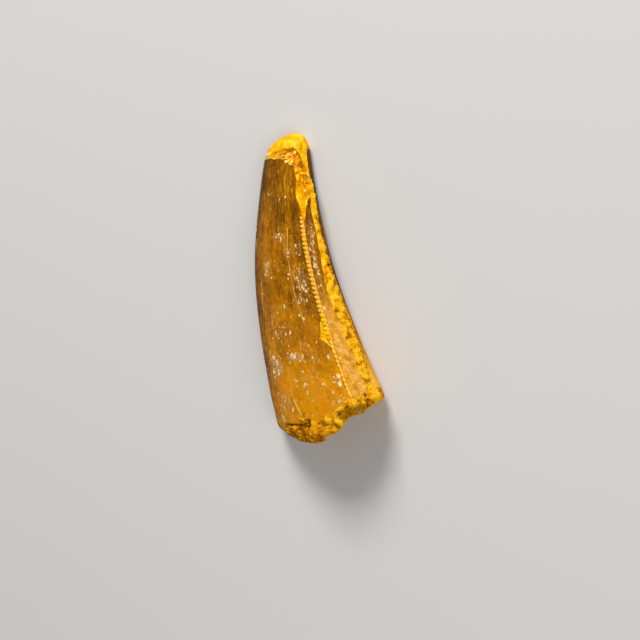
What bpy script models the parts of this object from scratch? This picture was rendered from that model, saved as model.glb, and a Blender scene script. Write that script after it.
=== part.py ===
"""Fossil tooth of a large meat-eating dinosaur, lying on its inner side.

One solid: a curved crown with a saw-edged cutting ridge along its back and a finer one along its front,
a chipped tip, a ribbon of sandstone cemented beside the back ridge, and a broken, stone-filled base.
Metres, +Z up, the tip towards +Y.  The sizes below are in millimetres.
"""

import math

import bmesh
import bpy
import numpy as np
from mathutils import Vector, noise

MM = 0.001

# Driving dimensions.  A "drop" is a distance from the tip, measured down the tooth's length.
LENGTH = 42.0
TIP_SIZE = 3.6  # size of the cross-section at the tip, before the tip is rounded off
SIZE_GROWTH = 0.184  # how much that size grows for each millimetre of drop
SWELL = 0.25  # extra size halfway down the crown
BEND_RADIUS = 77.0  # the crown curves towards its back with this radius...
BEND_START = 5.0  # ...from this drop down
UNDERSIDE_ARCH = 0.35  # clearance under the middle of the crown
ARCH_FROM, ARCH_TO = 7.0, 29.0  # the drops between which it is clear

# Saw edges
DENTICLE_PITCH = 0.6
DENTICLE_HEIGHT = 0.26
RIDGE_HEIGHT = 0.12
FRONT_SHARE = 0.3  # the front edge's saw is this much of the back edge's
SAW_FROM = 12.0  # drop where the back ridge's saw begins, below the spall

# The cross-section, as four cubic curves in units of its size, counter-clockwise from the back ridge.
# A "place" round the section is 0 at the back ridge, 1 at the front edge, 2 in the middle of the
# underside, 3 on the inner side's bulge and 4 at the back ridge again.
BACK_RIDGE, FRONT_EDGE = (0.846, 0.83), (-0.76, 0.14)
UNDERSIDE, INNER_BULGE = (0.10, -0.012), (1.0, 0.27)
SECTION = (
    (BACK_RIDGE, (0.45, 0.82), (-0.62, 0.62), FRONT_EDGE),
    (FRONT_EDGE, (-0.72, -0.03), (-0.30, 0.00), UNDERSIDE),
    (UNDERSIDE, (0.60, -0.03), (1.01, -0.03), INNER_BULGE),
    (INNER_BULGE, (0.995, 0.48), (0.94, 0.66), BACK_RIDGE),
)
COLUMNS = (12, 6, 7, 11)  # mesh columns along each of the four curves; their sum is a multiple of four
BASE_HEART = (0.15, 0.38)  # point of the section that the broken base closes on
TIP_HEART = (0.60, 0.40)  # point of the section that the tip is rounded around and that chips pull towards
TIP_RINGS, BASE_RINGS = 7, 6

# Where the tip's rounding ends and where the base is broken off: (place, drop)
TIP_LINE = ((0.0, 1.8), (1.0, 2.7), (2.0, 2.6), (3.0, 2.0), (4.0, 1.8))
BREAK_LINE = (
    (0.0, 37.8), (0.1, 38.1), (0.15, 38.5), (0.2, 39.1), (0.25, 39.9), (0.35, 40.8), (0.5, 41.9), (0.65, 41.9),
    (0.8, 41.0), (0.9, 40.8), (1.0, 40.4), (1.3, 39.7), (2.0, 37.6), (3.0, 35.7), (3.5, 37.0), (4.0, 37.8),
)  # fmt: skip
# The rim is worn round, most at the back ridge: (place, length), (place, depth)
WORN_LENGTH = ((0.0, 1.1), (0.05, 1.4), (0.27, 1.5), (0.33, 0.9), (1.1, 0.9), (2.8, 0.6), (3.3, 0.6), (4.0, 1.1))
WORN_DEPTH = ((0.0, 0.8), (0.27, 0.7), (0.35, 0.45), (1.1, 0.4), (2.8, 0.25), (3.3, 0.35), (3.65, 0.6), (4.0, 0.8))

# Chips: the enamel is gone from the tip, and from a spall that runs down the back ridge from it.
ENAMEL_THICKNESS = 0.3
TIP_ENAMEL_DROP = 3.3
# Edges of the chips.  A "side" is the place counted from the back ridge, negative on the inner side.
TIP_ENAMEL_LINE = (
    (-2.0, 2.4), (-0.9, 2.2), (-0.75, 3.0), (0.0, 4.6), (0.1, 4.6), (0.23, 4.2), (0.28, 3.6), (0.42, 3.55),
    (0.75, 3.35), (1.1, 3.3), (2.0, 2.4),
)  # (side, drop)  # fmt: skip
SPALL_OUTER_LINE = ((3.0, 0.10), (5.6, 0.085), (8.5, 0.09), (9.6, 0.06), (11.5, 0.0))  # (drop, side)
SPALL_INNER_LINE = (
    (3.0, -0.78), (7.0, -0.76), (8.7, -0.66), (9.4, -0.46), (10.4, -0.31), (11.5, -0.21), (12.4, -0.10),
)  # (drop, side)  # fmt: skip
# Below this ledge the broken tip is sunk deeper.
LEDGE_LINE = (
    (-0.7, 5.4), (-0.445, 4.4), (-0.315, 3.5), (0.005, 2.5), (0.155, 2.2), (0.39, 2.3), (0.61, 2.6), (0.72, 3.2),
)  # (side, drop)  # fmt: skip
LEDGE_DEPTH = 0.3

# Sandstone cemented to the tooth
CRUST_HEIGHT, CRUST_FROM = 0.40, 6.5
CRUST_COURSE = (  # its middle and half width down the tooth: (drop, place, half width in places)
    (5.0, 3.30, 0.18), (10.2, 3.29, 0.26), (13.6, 3.285, 0.17), (18.2, 3.27, 0.26), (21.8, 3.295, 0.34),
    (25.8, 3.24, 0.28), (29.5, 3.258, 0.26), (32.1, 3.285, 0.23), (34.2, 3.317, 0.17), (36.0, 3.38, 0.15),
)  # fmt: skip
KNOB_DROP, KNOB_PLACE, KNOB_RADIUS, KNOB_HEIGHT = 35.6, 3.25, 1.45, 0.62
STONE_BAND = 1.8  # width of the stony band along the broken base
STONE_LUMP = 0.4
BASE_HOLLOW = 0.7


def curve_point(curve, t):
    """A point of a cubic curve at t, from 0 to 1."""
    weights = ((1 - t) ** 3, 3 * t * (1 - t) ** 2, 3 * t * t * (1 - t), t**3)
    return np.array([sum(w * p[axis] for w, p in zip(weights, curve)) for axis in (0, 1)])


def section_places():
    """The places of the mesh columns, closer together beside the back ridge."""
    places = []
    for index, count in enumerate(COLUMNS):
        for step in range(count):
            t = step / count
            if index == 0:
                t = t**1.25
            if index == 3:
                t = 1 - (1 - t) ** 1.25
            places.append(index + t)
    return places


def section_columns():
    """(place, point, outward direction) of each mesh column round the section."""
    places = section_places()
    points = [curve_point(SECTION[int(place)], place % 1) for place in places]
    columns = []
    for i, place in enumerate(places):
        along = points[(i + 1) % len(points)] - points[i - 1]
        outward = np.array((along[1], -along[0])) / np.hypot(*along)
        columns.append((place, points[i], outward))
    return columns


def around(place, centre):
    """Signed distance round the section from centre to place, the short way."""
    return (place - centre + 2) % 4 - 2


def bump(distance, width):
    """1 at no distance, falling smoothly to 0 at width."""
    return max(0.0, 1 - (distance / width) ** 2) ** 2


def step_up(value, start, end):
    """0 before start, 1 after end, smooth in between."""
    t = min(1.0, max(0.0, (value - start) / (end - start)))
    return t * t * (3 - 2 * t)


def on_line(line, value):
    """The second value of a line of pairs, read at the first."""
    first, second = zip(*line)
    return float(np.interp(value, first, second))


def rough(drop, place, grain, seed):
    """Smooth noise from -1 to 1 over the surface, with lumps of about grain millimetres."""
    angle = place * math.pi / 2
    girth = 4.5 / grain
    return noise.noise(Vector((girth * math.cos(angle), girth * math.sin(angle), drop / grain + seed)))


def break_drop(place):
    """Drop of the broken base's rim, with a ragged edge."""
    return on_line(BREAK_LINE, place) + 0.35 * rough(0, place, 1.3, 7)


def size_at(drop):
    return TIP_SIZE + SIZE_GROWTH * drop + SWELL * math.sin(math.pi * drop / LENGTH)


def chipped(drop, place):
    """1 where the enamel is gone: on the tip and on the spall beside the back ridge."""
    side = around(place, 0)
    tip = 1 - step_up(drop - on_line(TIP_ENAMEL_LINE, side), -0.2, 0.1)
    inner, outer = on_line(SPALL_INNER_LINE, drop), on_line(SPALL_OUTER_LINE, drop)
    spall = step_up(side, inner - 0.05, inner) * (1 - step_up(side, outer - 0.03, outer + 0.02))
    return max(tip, spall * (1 - step_up(drop, 11.6, 12.6)))


def under_ledge(drop, place):
    """1 where the broken tip is sunk below its ledge."""
    side = around(place, 0)
    below = step_up(drop - on_line(LEDGE_LINE, side), -0.1, 0.3) * (1 - step_up(drop, 4.5, 7.5))
    return below * step_up(side, -0.75, -0.6) * (1 - step_up(side, 0.6, 0.72))


def rim_wear(drop, place):
    """How far the broken rim is worn away."""
    length = on_line(WORN_LENGTH, place)
    near = min(1.0, max(0.0, 1 - (break_drop(place) - drop) / length))
    return on_line(WORN_DEPTH, place) * near**1.6


def stoniness(drop, place):
    """1 on the stony band along the broken base, 0 on the enamel above it."""
    edge = break_drop(place) - STONE_BAND + 0.6 * rough(3, place, 1.2, 4)
    return step_up(drop, edge - 0.2, edge + 0.3)


def crust(drop, place):
    """Height of the sandstone ribbon and of the knob at its foot."""
    drops, middles, half_widths = zip(*CRUST_COURSE)
    gap = around(place, np.interp(drop, drops, middles)) / np.interp(drop, drops, half_widths)
    ribbon = bump(gap, 1.15) * step_up(drop, CRUST_FROM - 1, CRUST_FROM + 1)
    knob_gap = math.hypot(drop - KNOB_DROP, around(place, KNOB_PLACE) * 6.0)
    ribbon_height = CRUST_HEIGHT * ribbon * (0.8 + 0.6 * rough(drop, place, 1.0, 11))
    return ribbon_height + KNOB_HEIGHT * bump(knob_gap, KNOB_RADIUS)


def relief(drop, place):
    """How far the surface stands out of the plain section, in millimetres."""
    gone = chipped(drop, place)
    stone = stoniness(drop, place)
    height = 0.06 * rough(drop / 6, place, 2.2, 3) + crust(drop, place)
    height += gone * (0.2 * rough(drop, place, 1.2, 5) - ENAMEL_THICKNESS - LEDGE_DEPTH * under_ledge(drop, place))
    height += stone * (STONE_LUMP * rough(drop, place, 1.5, 2) - 0.5 * ENAMEL_THICKNESS)
    return height - rim_wear(drop, place)


def saw(drop, place, is_top):
    """Height of a cutting ridge: denticles along the back, finer ones along the front."""
    height = RIDGE_HEIGHT + (DENTICLE_HEIGHT if is_top else 0.0)
    if place == 0 and drop > SAW_FROM:
        return height
    if place == 1 and drop > TIP_ENAMEL_DROP:
        return FRONT_SHARE * height
    return 0.0


def raised(flat, drop, height, outward):
    """A point of the section moved outwards by a height, or towards the tip's heart by a negative one."""
    if height >= 0:
        return flat + height * outward
    heart = np.array(TIP_HEART) * size_at(drop)
    return flat + height * (flat - heart) / np.hypot(*(flat - heart))


def placed(drop, flat_point):
    """A point of the section at that drop, in the tooth's resting frame: millimetres, floor at Z 0."""
    across = (drop - BEND_START) ** 2 / (2 * BEND_RADIUS)
    span = min(1.0, max(0.0, (drop - ARCH_FROM) / (ARCH_TO - ARCH_FROM)))
    lift = UNDERSIDE_ARCH * math.sin(math.pi * span) ** 2
    x, z = flat_point
    return np.array((across + x, LENGTH - drop, lift + z))


def tip_ring(columns, ring):
    """A ring of the rounded tip."""
    angle = ring / TIP_RINGS * math.pi / 2
    share = math.sin(angle)
    heart = np.array(TIP_HEART)
    points = []
    for place, point, outward in columns:
        drop = on_line(TIP_LINE, place) * (1 - math.cos(angle))
        flat = (heart + share * (point - heart)) * size_at(drop)
        points.append(placed(drop, raised(flat, drop, share * relief(drop, place), outward)))
    return points


def crown_ring(columns, share, is_top):
    """A ring of the crown's side, share being 0 at the tip's rounding and 1 at the broken base."""
    points = []
    for place, point, outward in columns:
        start = on_line(TIP_LINE, place)
        drop = start + (break_drop(place) - start) * share
        height = relief(drop, place) + saw(drop, place, is_top)
        points.append(placed(drop, raised(point * size_at(drop), drop, height, outward)))
    return points


def base_ring(columns, ring):
    """A ring of the broken end: a wall of tooth round the hollow that stone fills."""
    inward = ring / BASE_RINGS
    heart = np.array(BASE_HEART)
    points = []
    for place, point, outward in columns:
        rim = break_drop(place)
        uneven = 0.5 * rough(4 - 4 * inward, place, 1.6, 9) * step_up(inward, 0.0, 0.2)
        hollow = BASE_HOLLOW * step_up(inward, 0.2, 0.7)
        drop = rim + (on_line(BREAK_LINE, 2.0) + 1 - rim) * inward - hollow + uneven
        flat = (heart + (1 - inward) * (point - heart)) * size_at(rim)
        height = (1 - inward) * relief(rim, place)
        points.append(placed(drop, raised(flat, rim, height, outward)))
    return points


def shape_rings():
    """Every ring of the tooth from tip to base, each a list of points, and the two end points."""
    columns = section_columns()
    crown_rings = 2 * round((on_line(BREAK_LINE, 0) - on_line(TIP_LINE, 0)) / DENTICLE_PITCH)
    rings = [tip_ring(columns, ring) for ring in range(1, TIP_RINGS)]
    rings += [crown_ring(columns, ring / crown_rings, ring % 2 == 0) for ring in range(crown_rings + 1)]
    rings += [base_ring(columns, ring) for ring in range(1, BASE_RINGS)]
    first = placed(0.0, np.array(TIP_HEART) * size_at(0))
    last = np.mean(rings[-1], axis=0)
    return rings, first, last


def build_tooth():
    """A sphere whose rings are drawn onto the tooth's sections, one after another, from tip to base."""
    rings, first, last = shape_rings()
    segments, spans = len(rings[0]), len(rings) + 1
    shape = bmesh.new()
    bmesh.ops.create_uvsphere(shape, u_segments=segments, v_segments=spans, radius=1)
    for vertex in shape.verts:
        ring = round(math.acos(max(-1.0, min(1.0, vertex.co.z))) / math.pi * spans)
        column = round(math.atan2(vertex.co.y, vertex.co.x) / math.tau * segments) % segments
        if ring == 0:
            point = first
        elif ring == spans:
            point = last
        else:
            point = rings[ring - 1][column]
        vertex.co = Vector(point) * MM
        vertex.co.z = max(0.0, vertex.co.z)
    bmesh.ops.reverse_faces(shape, faces=shape.faces)  # the sections turn the other way round the tip
    centre_over_floor(shape)
    mesh = bpy.data.meshes.new("tooth")
    shape.to_mesh(mesh)
    shape.free()
    mesh.shade_smooth()
    mesh.set_sharp_from_angle(angle=math.radians(40))
    mesh.materials.append(fossil_enamel())
    return bpy.data.objects.new("tooth", mesh)


def centre_over_floor(shape):
    """Moves the mesh so that the frame's origin is under the middle of its box."""
    for axis in (0, 1):
        values = [vertex.co[axis] for vertex in shape.verts]
        middle = (min(values) + max(values)) / 2
        for vertex in shape.verts:
            vertex.co[axis] -= middle


def fossil_enamel():
    """Amber-brown fossil enamel."""
    material = bpy.data.materials.new("fossil")
    material.use_nodes = True
    surface = material.node_tree.nodes["Principled BSDF"]
    surface.inputs["Base Color"].default_value = (0.42, 0.19, 0.03, 1)
    surface.inputs["Roughness"].default_value = 0.35
    surface.inputs["Metallic"].default_value = 0.0
    return material


def main():
    for thing in list(bpy.data.objects):
        bpy.data.objects.remove(thing)
    collection = bpy.data.collections.new("fossil tooth")
    bpy.context.scene.collection.children.link(collection)
    collection.objects.link(build_tooth())


main()
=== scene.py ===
"""Looks of a fossil dinosaur tooth that lies on its inner side.

The crown is one dense mesh: a closed tube whose rings are drawn onto the tooth's sections, as in the solid
that it stands for, and then given its saw edges, chips, cemented sandstone and broken base.  Sand grains are
a second mesh, half sunk in the stone.  Sizes are in millimetres until a mesh is written.
"""

import math

import bmesh
import bpy
import numpy as np
from mathutils import Matrix, Vector, noise


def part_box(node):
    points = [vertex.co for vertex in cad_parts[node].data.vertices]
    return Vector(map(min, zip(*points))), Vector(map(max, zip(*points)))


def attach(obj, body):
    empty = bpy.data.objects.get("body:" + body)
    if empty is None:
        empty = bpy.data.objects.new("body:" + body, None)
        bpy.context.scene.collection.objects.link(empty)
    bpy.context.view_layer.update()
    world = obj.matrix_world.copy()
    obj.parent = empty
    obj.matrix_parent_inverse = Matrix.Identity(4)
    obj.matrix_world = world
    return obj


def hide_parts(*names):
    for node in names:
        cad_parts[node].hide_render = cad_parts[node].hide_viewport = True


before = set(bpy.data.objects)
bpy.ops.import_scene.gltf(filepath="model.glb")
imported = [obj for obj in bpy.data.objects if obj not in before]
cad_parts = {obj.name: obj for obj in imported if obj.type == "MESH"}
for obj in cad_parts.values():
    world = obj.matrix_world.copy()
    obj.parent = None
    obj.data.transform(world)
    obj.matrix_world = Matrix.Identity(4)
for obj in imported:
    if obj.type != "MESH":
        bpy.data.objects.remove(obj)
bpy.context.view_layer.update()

MM = 0.001

# ---------------------------------------------------------------- the solid's own measures
# A "drop" is a distance from the tip, measured down the tooth's length.
LENGTH = 42.0
TIP_SIZE = 3.6
SIZE_GROWTH = 0.184
SWELL = 0.25
BEND_RADIUS = 77.0
BEND_START = 5.0
UNDERSIDE_ARCH = 0.35
ARCH_FROM, ARCH_TO = 7.0, 29.0

DENTICLE_PITCH = 0.6
DENTICLE_HEIGHT = 0.26
RIDGE_HEIGHT = 0.12
FRONT_SHARE = 0.3
SAW_FROM = 12.0

# A "place" round the section is 0 at the back ridge, 1 at the front edge, 2 in the middle of the
# underside, 3 on the inner side's bulge and 4 at the back ridge again.
BACK_RIDGE, FRONT_EDGE = (0.846, 0.83), (-0.76, 0.14)
UNDERSIDE, INNER_BULGE = (0.10, -0.012), (1.0, 0.27)
SECTION = (
    (BACK_RIDGE, (0.45, 0.82), (-0.62, 0.62), FRONT_EDGE),
    (FRONT_EDGE, (-0.72, -0.03), (-0.30, 0.00), UNDERSIDE),
    (UNDERSIDE, (0.60, -0.03), (1.01, -0.03), INNER_BULGE),
    (INNER_BULGE, (0.995, 0.48), (0.94, 0.66), BACK_RIDGE),
)
# Points inside the section that the broken end and the tip close in on, at size 1.
BASE_HEART = (0.15, 0.38)
TIP_HEART = (0.60, 0.40)

# The drops of the first whole section and of the broken rim: (place, drop).
TIP_LINE = ((0.0, 1.8), (1.0, 2.7), (2.0, 2.6), (3.0, 2.0), (4.0, 1.8))
BREAK_LINE = (
    (0.0, 37.8), (0.1, 38.1), (0.15, 38.5), (0.2, 39.1), (0.25, 39.9), (0.35, 40.8), (0.5, 41.9),
    (0.65, 41.9), (0.8, 41.0), (0.9, 40.8), (1.0, 40.4), (1.3, 39.7), (2.0, 37.6), (3.0, 35.7),
    (3.5, 37.0), (4.0, 37.8),
)  # fmt: skip

ENAMEL_THICKNESS = 0.3

CRUST_HEIGHT, CRUST_FROM = 0.40, 6.5
KNOBS = (  # bright ones: (drop, place, radius, height)
    (35.6, 3.25, 1.45, 0.62), (38.9, 0.30, 0.70, 0.60), (39.1, 0.235, 0.70, 0.70),
    (39.15, 0.50, 0.42, 0.26), (39.35, 0.44, 0.50, 0.30),
)  # fmt: skip
STONE_LUMP = 0.4
BASE_HOLLOW = 0.7

# ---------------------------------------------------------------- what only the looks have
COLUMNS = (80, 34, 26, 60)  # mesh columns along the section's four curves, their sum a multiple of four
COLUMN_CROWDING = 1.25  # above 1, columns crowd towards the back ridge
TIP_RINGS, CROWN_RINGS, BASE_RINGS = 24, 424, 42
BASE_RING_CROWDING = 1.15  # above 1, the broken end's rings crowd towards its rim
GIRTH_RADIUS = 4.5  # of the round bar that noise and streaks are wound on

SAW_HALF_WIDTH = (  # (drop, millimetres)
    (11.0, 0.24), (12.8, 0.44), (25.0, 0.56), (28.3, 0.56), (28.8, 0.30), (36.0, 0.22),
)  # fmt: skip
SAW_RELIEF, NOTCH_RELIEF, SULCUS_DEPTH = 0.17, 0.15, 0.09
SAW_SLANT = 0.12  # how far a denticle leans down the tooth for each millimetre across
SAW_FADES = (28.3, 29.5)  # the drops between which the saw is worn low
FRONT_CROWDING = 1.15  # how many denticles the front edge has for each of the back ridge's
# Edges of the chipped enamel; "side" is the place counted from the back ridge, negative on the inner side.
TIP_ENAMEL_LINE = (  # (side, drop)
    (-2.0, 2.4), (-0.9, 2.2), (-0.75, 3.0), (0.0, 4.6), (0.1, 4.6), (0.23, 4.2), (0.28, 3.6), (0.42, 3.55),
    (0.75, 3.35), (1.1, 3.3), (2.0, 2.4),
)  # fmt: skip
SPALL_OUTER_LINE = (  # (drop, side)
    (3.0, 0.10), (4.6, 0.10), (5.6, 0.085), (6.5, 0.055), (7.7, 0.08), (8.5, 0.09), (9.6, 0.06),
    (11.5, -0.01), (12.4, 0.0),
)  # fmt: skip
SPALL_INNER_LINE = (  # (drop, side)
    (3.0, -0.78), (7.0, -0.76), (8.7, -0.66), (9.4, -0.46), (10.4, -0.31), (11.5, -0.21), (12.4, -0.10),
)  # fmt: skip
LEDGE_LINE = (  # (side, drop)
    (-0.7, 5.4), (-0.445, 4.4), (-0.315, 3.5), (0.005, 2.5), (0.155, 2.2), (0.39, 2.3), (0.61, 2.6),
    (0.72, 3.2),
)  # fmt: skip
WIDE_DENTICLES = (24.6, 29.5, 0.155)  # (first drop, last drop, reach at the last in places)

# Where stone starts above the broken base, and how the rim is bevelled: (place, ...)
STONE_EDGE_LINE = (
    (0.0, 35.8), (0.045, 35.9), (0.135, 36.7), (0.21, 37.5), (0.27, 38.3), (0.32, 38.8), (0.38, 39.3),
    (0.42, 39.1), (0.47, 38.8), (0.52, 38.9), (0.54, 39.6), (0.65, 39.8), (0.705, 40.1), (0.755, 41.0),
    (0.85, 41.2), (1.0, 41.0), (1.2, 40.4), (2.0, 37.2), (2.8, 34.9), (3.2, 34.6), (3.35, 35.0),
    (3.515, 35.4), (3.715, 35.6), (4.0, 35.8),
)  # fmt: skip
BEVEL_LENGTH = (
    (0.0, 1.1), (0.05, 1.4), (0.2, 1.3), (0.27, 1.5), (0.33, 0.9), (1.1, 0.9), (2.8, 0.6), (3.3, 0.6),
    (3.5, 0.8), (3.9, 0.9), (4.0, 1.1),
)  # fmt: skip
BEVEL_DEPTH = (
    (0.0, 0.9), (0.27, 0.8), (0.35, 0.5), (1.1, 0.5), (2.8, 0.3), (3.3, 0.4), (3.65, 0.7), (4.0, 0.9),
)  # fmt: skip
GROOVE_ALONG_STONE = 0.34
# The crust's middle, its half width and its height: (drop, place, half width in places, share of the height)
CRUST_COURSE = (
    (5.0, 3.30, 0.18, 0.5), (8.1, 3.28, 0.19, 0.8), (9.4, 3.23, 0.20, 0.9), (10.2, 3.29, 0.26, 0.9),
    (13.6, 3.285, 0.15, 0.9), (15.3, 3.27, 0.20, 0.9), (18.2, 3.27, 0.26, 1.0), (21.8, 3.295, 0.34, 1.0),
    (24.4, 3.30, 0.31, 1.0), (25.8, 3.233, 0.28, 1.0), (28.0, 3.28, 0.28, 1.0), (29.5, 3.258, 0.26, 0.9),
    (30.4, 3.215, 0.22, 0.9), (32.1, 3.285, 0.23, 0.9), (34.2, 3.317, 0.13, 0.8), (36.0, 3.38, 0.12, 0.6),
)  # fmt: skip
LUMPS = (  # (drop, place, radius, height)
    (39.0, 0.53, 0.45, 0.20), (40.7, 0.60, 1.2, 0.30), (40.8, 0.40, 1.2, 0.35), (40.2, 0.46, 0.6, 0.18),
    (40.0, 0.80, 0.9, 0.16), (36.8, 0.04, 0.7, 0.16),
    (37.0, 3.90, 0.7, 0.20), (36.7, 3.68, 0.6, 0.20), (34.6, 3.42, 0.6, 0.20), (37.5, 0.14, 0.6, 0.16),
    (4.6, 0.06, 0.30, 0.16), (5.6, 0.03, 0.26, 0.16),
)  # fmt: skip
CRUMBS = (  # as LUMPS, but pale ones along the edge of the tip's enamel
    (2.95, 0.71, 0.75, 0.62), (3.30, 0.53, 0.50, 0.26), (3.20, 0.43, 0.46, 0.24), (3.40, 0.355, 0.44, 0.24),
    (2.95, 0.315, 0.42, 0.26), (3.30, 0.245, 0.50, 0.32), (3.80, 0.18, 0.55, 0.36), (3.00, 0.08, 0.46, 0.26),
    (4.10, 0.265, 0.36, 0.22), (4.35, 0.16, 0.50, 0.28), (6.10, 3.37, 0.50, 0.20), (8.2, 3.61, 0.36, 0.24),
)  # fmt: skip
GOLD_THREADS_AND_GLEAM = (  # fine golden lines in the enamel, the second group a painted gleam along the front edge: groups of lines one below another, each of (drop, place) points
    (((13.3, 0.265), (16.5, 0.292), (22.0, 0.285), (26.4, 0.250)), ((28.4, 0.335), (31.1, 0.355))),
    (((14.6, 0.82), (20.4, 0.875), (25.8, 0.92)),),
    (((20.4, 0.690), (24.4, 0.712)), ((24.9, 0.590), (26.6, 0.610)), ((33.8, 0.530), (36.5, 0.545))),
)
LIME_PATCH = (39.2, 0.715, 0.60, 0.40)  # (drop, place, half length, half width)
FLAKES = (  # the largest flecks of lime: (drop, place, radius)
    (30.6, 0.095, 0.30), (33.1, 0.058, 0.42), (34.1, 0.070, 0.36), (25.6, 0.245, 0.30), (34.3, 0.390, 0.30),
    (35.3, 0.165, 0.26), (36.3, 0.625, 0.26), (36.8, 0.635, 0.26), (14.1, 0.400, 0.20), (14.6, 0.370, 0.20),
    (18.0, 0.565, 0.26), (16.7, 0.285, 0.20), (19.6, 0.310, 0.20), (23.5, 0.255, 0.24), (21.9, 0.140, 0.26),
    (16.3, 3.325, 0.42), (8.4, 0.585, 0.16), (30.8, 0.670, 0.36), (31.5, 0.635, 0.38), (30.4, 0.450, 0.30),
    (30.7, 0.420, 0.24), (32.9, 0.700, 0.34), (31.5, 0.485, 0.22), (32.6, 0.385, 0.20), (34.2, 0.230, 0.20),
    (20.0, 0.530, 0.20), (31.2, 0.385, 0.22), (33.9, 0.460, 0.18),
)  # fmt: skip
BASE_CRACK = (36.3, 38.6, 0.522, 0.0307)  # (first drop, last drop, place at the middle, slant)
PITS = (  # dark ones, most of them near the broken base: (drop, place, radius, strength)
    (38.5, 0.495, 0.38, 1.0), (38.1, 0.20, 0.50, 0.8), (38.0, 0.10, 0.40, 0.5), (35.7, 3.56, 0.40, 0.9),
    (36.3, 3.56, 0.50, 1.0), (36.9, 3.58, 0.50, 1.0), (39.8, 0.335, 0.30, 0.8), (39.65, 0.28, 0.30, 0.8),
    (3.7, 3.80, 0.40, 0.45), (4.2, 3.69, 0.50, 0.6), (4.8, 3.59, 0.50, 0.6), (5.4, 3.53, 0.40, 0.45),
)  # fmt: skip
# The stone that plugs the base: its chunks are stretched aslant by this turn.
PLUG_GRAIN = np.array(((0.8, -1.0, 0.0), (0.5, 0.6, 0.0), (0.0, 0.0, 1.0)))
PLUG_CHUNK, END_CHUNK, TIP_CHUNK = 1.7, 2.2, 0.85

# Clusters of small pale flecks, lime and painted glints: (drop, place, half length, half width, density)
FLECK_AND_GLINT_CLUSTERS = (
    (32.1, 0.640, 1.6, 0.10, 1.3), (31.0, 0.680, 1.2, 0.06, 1.3), (33.2, 0.700, 1.4, 0.07, 1.3),
    (30.7, 0.440, 0.9, 0.09, 1.3), (33.8, 0.330, 2.0, 0.16, 0.5), (33.7, 0.080, 0.9, 0.06, 1.1),
    (30.6, 0.085, 0.5, 0.04, 1.0), (36.9, 0.640, 1.6, 0.10, 0.8), (36.4, 0.150, 0.9, 0.12, 0.9),
    (27.9, 0.520, 2.0, 0.20, 0.4), (30.0, 0.300, 2.5, 0.14, 0.3), (14.3, 0.390, 1.2, 0.10, 0.9),
    (18.6, 0.580, 1.8, 0.06, 1.0), (16.4, 0.260, 1.2, 0.10, 0.7), (16.3, 0.140, 1.0, 0.09, 0.7),
    (20.5, 0.170, 2.6, 0.12, 0.9), (22.8, 0.240, 3.0, 0.08, 0.6), (25.1, 0.600, 3.0, 0.14, 0.4),
    (17.8, 3.750, 4.0, 0.14, 1.2), (14.0, 3.600, 2.2, 0.14, 1.1), (25.0, 3.780, 4.0, 0.14, 0.6),
    (31.0, 3.750, 4.0, 0.20, 0.4), (16.3, 3.200, 1.0, 0.20, 0.7),
)  # fmt: skip

GRAIN_SEED = 5
GRAIN_COUNT = 2048  # a power of two
GRAIN_RADIUS, GRAIN_RADIUS_SPREAD = 0.05, 0.11
GRAINS_ABOVE = 0.4  # no grain grows lower than this over the floor

# ---------------------------------------------------------------- finishes
# Each is a ramp of (position, colour), the colours being linear red, green and blue.
ORANGE_ENAMEL = (
    (0.00, (0.79, 0.282, 0.003)),
    (0.30, (0.51, 0.169, 0.002)),
    (0.65, (0.260, 0.080, 0.0015)),
    (1.00, (0.085, 0.027, 0.001)),
)
OLIVE_ENAMEL = (
    (0.00, (0.74, 0.300, 0.003)),
    (0.30, (0.47, 0.180, 0.002)),
    (0.65, (0.235, 0.086, 0.0015)),
    (1.00, (0.075, 0.028, 0.001)),
)
STREAK_GOLD = ((0.0, (0.90, 0.46, 0.016)), (1.0, (0.80, 0.36, 0.012)))
# Golden lines, and a painted gleam along the front edge.
THREAD_AND_GLEAM_GOLD = ((0.3, (0.72, 0.34, 0.04)), (0.7, (1.0, 0.62, 0.18)))
TAN_GLAZE = ((0.36, (0.50, 0.20, 0.010)), (0.50, (0.80, 0.37, 0.030)), (0.64, (0.97, 0.55, 0.12)))
# Worn ridges, and painted light on the inner side's lower band.
WORN_RIDGE_AND_PAINTED_LIGHT = ((0.35, (0.90, 0.37, 0.012)), (0.50, (1.0, 0.50, 0.035)), (0.65, (1.0, 0.66, 0.14)))
DENTINE = (
    (0.22, (0.78, 0.27, 0.002)),
    (0.42, (1.0, 0.43, 0.003)),
    (0.55, (1.0, 0.58, 0.006)),
    (0.70, (1.0, 0.74, 0.05)),
)
YELLOW_STONE = (
    (0.24, (0.36, 0.11, 0.002)),
    (0.34, (0.66, 0.25, 0.003)),
    (0.44, (0.92, 0.43, 0.006)),
    (0.60, (1.0, 0.57, 0.018)),
    (0.75, (1.0, 0.74, 0.12)),
)
AMBER_STONE = (
    (0.28, (0.14, 0.042, 0.001)),
    (0.40, (0.44, 0.150, 0.002)),
    (0.50, (0.76, 0.290, 0.004)),
    (0.62, (1.00, 0.48, 0.015)),
)
HONEY_STONE = ((0.3, (1.0, 0.40, 0.004)), (0.5, (1.0, 0.52, 0.012)), (0.7, (1.0, 0.68, 0.05)))
# Painted shade for the worn rim's lower part and, faintly, the broken end.
OLIVE_PAINTED_SHADE = ((0.35, (0.17, 0.062, 0.001)), (0.65, (0.66, 0.27, 0.004)))
CREAM_CRUMBS = ((0.35, (1.0, 0.60, 0.02)), (0.65, (1.0, 0.80, 0.20)))
LIME_CRUST = ((0.35, (0.55, 0.40, 0.08)), (0.65, (0.78, 0.62, 0.24)))
LIME_FILM = ((0.0, (0.46, 0.21, 0.05)), (0.15, (0.68, 0.36, 0.11)))
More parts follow.
